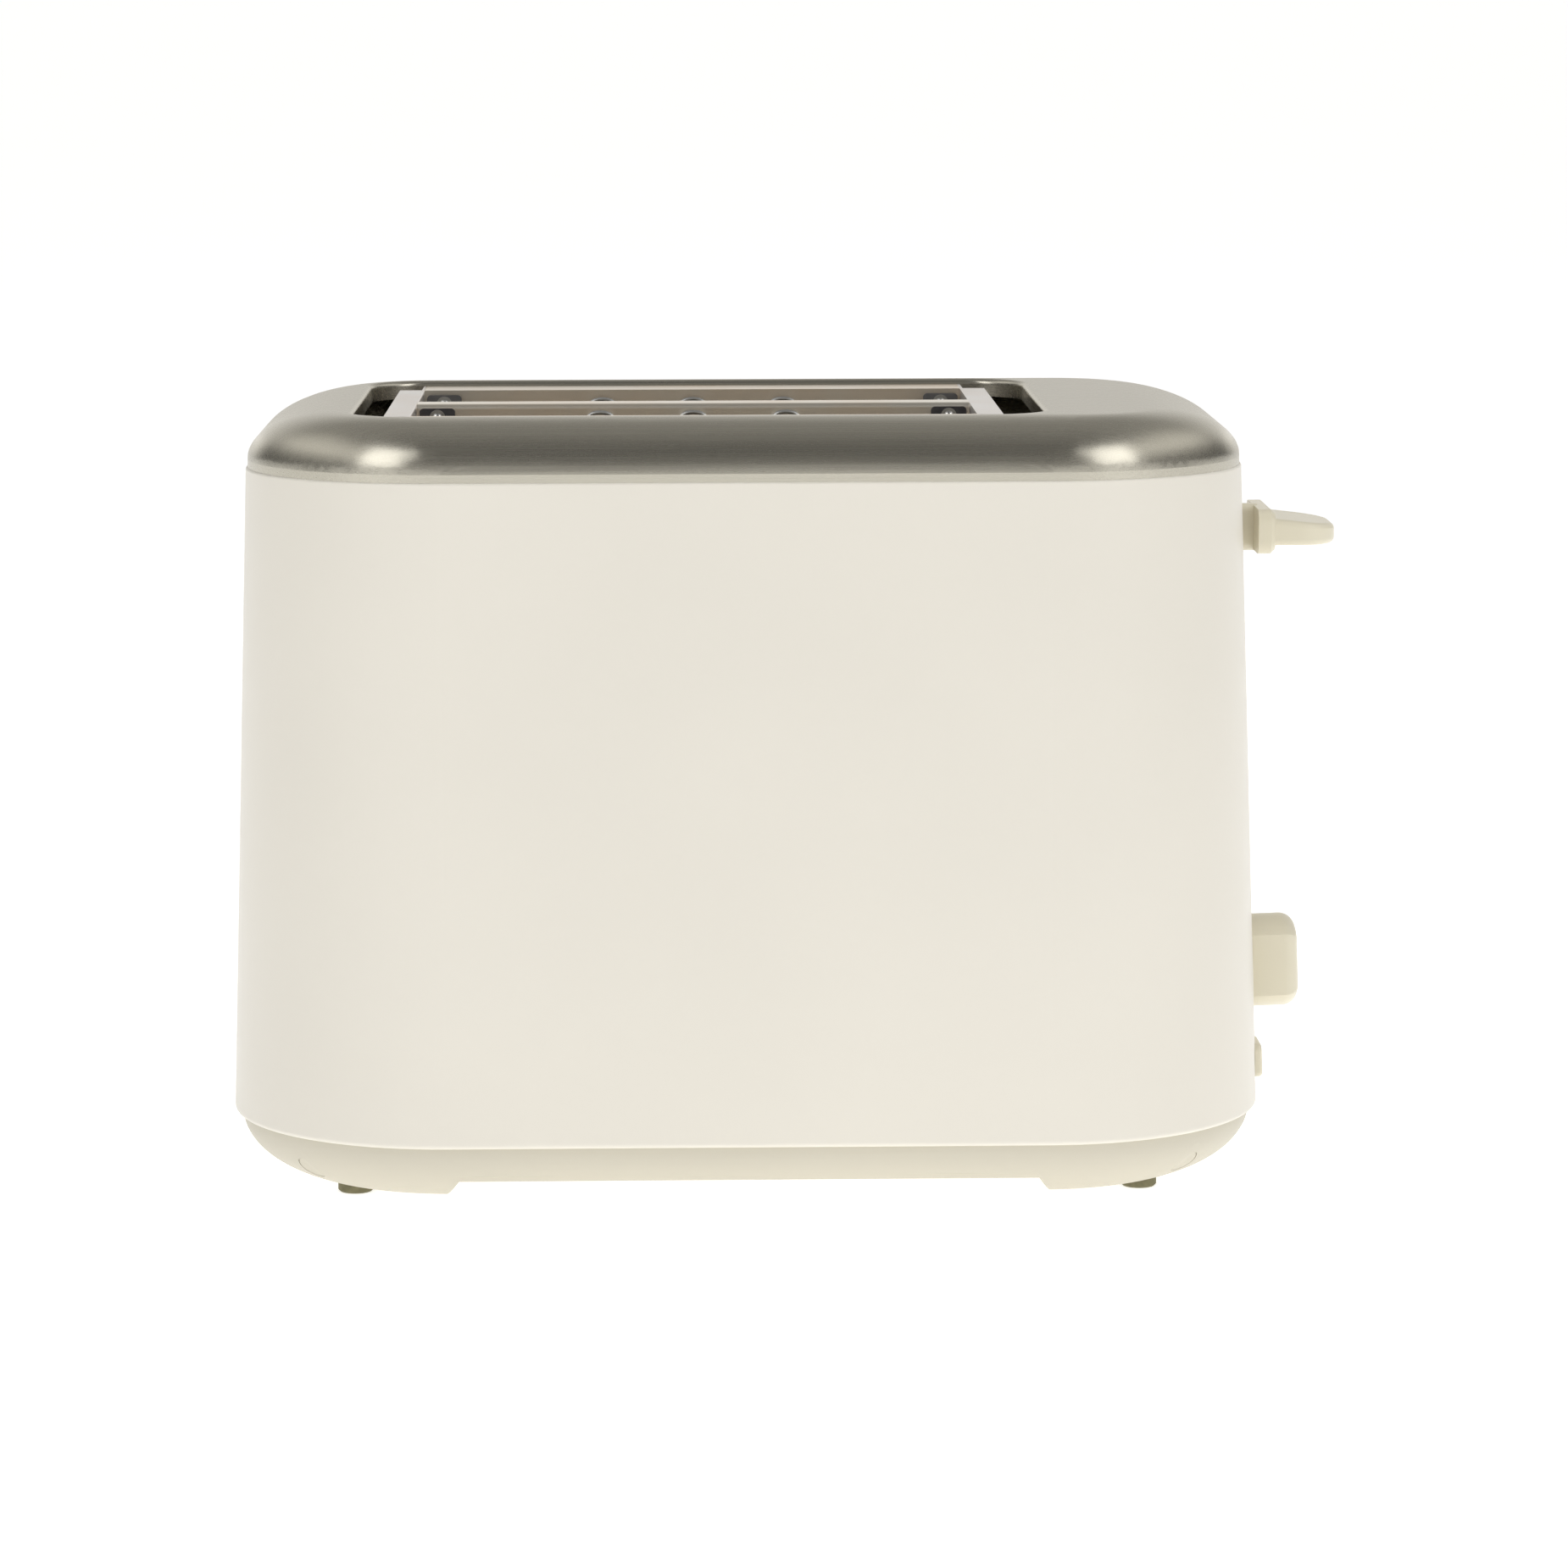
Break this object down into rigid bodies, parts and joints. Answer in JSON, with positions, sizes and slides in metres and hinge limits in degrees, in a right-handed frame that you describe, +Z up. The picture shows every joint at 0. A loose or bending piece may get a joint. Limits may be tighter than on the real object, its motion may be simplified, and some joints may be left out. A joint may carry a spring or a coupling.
{
  "type": "pop up toaster",
  "caption": "Pop-up toaster with a cream shell, domed steel cover over side-by-side bread slots, side lever, browning dial and push buttons.",
  "frame": {"origin": "on the table under the middle of the overall box, lever included", "axes": "+X along the slots towards the lever end, +Y to the rear, +Z up"},
  "size_m": [0.2805, 0.1596, 0.1958],
  "materials": {
    "cream_shell": "satin cream moulded shell",
    "cream_knob": "satin cream moulded knobs",
    "beige_base": "fine textured beige",
    "brushed_cover": "brushed along the slots",
    "bright_sheet": "bright rolled sheet",
    "steel_wire": "plated wire",
    "zinc_steel": "zinc plated",
    "dark_steel": "laminated steel",
    "resistance_alloy": "oxidised ribbon",
    "mica": "pressed mica sheet",
    "copper_coil": "enamelled copper winding",
    "board_laminate": "paper laminate board",
    "white_nylon": "natural nylon",
    "black_rubber": "matt rubber",
    "foot_rubber": "olive grey rubber",
    "black_plastic": "moulded black"
  },
  "bodies": {
    "root": {"base": "beige_base", "base_screws": "zinc_steel", "board_bracket": "white_nylon", "board_screws": "zinc_steel", "bread_guard_front_inner": "steel_wire", "bread_guard_front_outer": "steel_wire", "bread_guard_rear_inner": "steel_wire", "bread_guard_rear_outer": "steel_wire", "browning_control": "black_plastic", "capacitor": "black_plastic", "carriage_spring": "zinc_steel", "chassis_end_left": "bright_sheet", "chassis_end_right": "bright_sheet", "chassis_screws": "zinc_steel", "circuit_board": "board_laminate", "cord_gland": "black_rubber", "cover_screws": "zinc_steel", "divider_cap": "bright_sheet", "foot_front_left": "foot_rubber", "foot_front_right": "foot_rubber", "foot_rear_left": "foot_rubber", "foot_rear_right": "foot_rubber", "guide_rod": "zinc_steel", "heater_card_centre": "mica", "heater_card_front": "mica", "heater_card_rear": "mica", "heating_ribbon_centre": "resistance_alloy", "heating_ribbon_front": "resistance_alloy", "heating_ribbon_rear": "resistance_alloy", "housing": "cream_shell", "magnet_coil": "copper_coil", "magnet_core": "dark_steel", "push_switch_cancel": "black_plastic", "push_switch_defrost": "black_plastic", "push_switch_reheat": "black_plastic", "reflector_front": "bright_sheet", "reflector_rear": "bright_sheet", "relay": "black_plastic", "stop_buffer": "black_rubber", "terminal_block": "white_nylon", "timer_chip": "black_plastic", "top_cover": "brushed_cover"},
    "carriage": {"carriage_bracket": "bright_sheet", "carriage_bush": "white_nylon", "bread_rack_front": "steel_wire", "bread_rack_rear": "steel_wire", "armature_plate": "dark_steel", "lever_knob": "cream_knob"},
    "dial": {"browning_dial": "cream_knob", "browning_shaft": "zinc_steel"},
    "button_cancel_body": {"button_cancel": "cream_knob"},
    "button_reheat_body": {"button_reheat": "cream_knob"},
    "button_defrost_body": {"button_defrost": "cream_knob"},
    "tray": {"crumb_tray": "bright_sheet", "crumb_tray_grip": "beige_base"}
  },
  "joints": [
    {"name": "carriage_slide", "type": "slide", "parent": "root", "child": "carriage", "axis": [0, 0, -1], "range_m": [0, 0.06], "stiffness_N_per_m": 60, "springref_m": -0.08, "deforming": ["carriage_spring"]},
    {"name": "dial_turn", "type": "hinge", "parent": "root", "child": "dial", "pos_m": [0.11868, 0, 0.0492], "axis": [0.9994, 0, 0.0337], "range_deg": [-135, 135]},
    {"name": "cancel_press", "type": "slide", "parent": "root", "child": "button_cancel_body", "axis": [-0.9994, 0, -0.0337], "range_m": [0, 0.0015], "stiffness_N_per_m": 400, "springref_m": -0.002},
    {"name": "reheat_press", "type": "slide", "parent": "root", "child": "button_reheat_body", "axis": [-0.9994, 0, -0.0337], "range_m": [0, 0.0015], "stiffness_N_per_m": 400, "springref_m": -0.002},
    {"name": "defrost_press", "type": "slide", "parent": "root", "child": "button_defrost_body", "axis": [-0.9994, 0, -0.0337], "range_m": [0, 0.0015], "stiffness_N_per_m": 400, "springref_m": -0.002},
    {"name": "crumb_tray_slide", "type": "slide", "parent": "root", "child": "tray", "axis": [0, 1, 0], "range_m": [0, 0.13]}
  ]
}
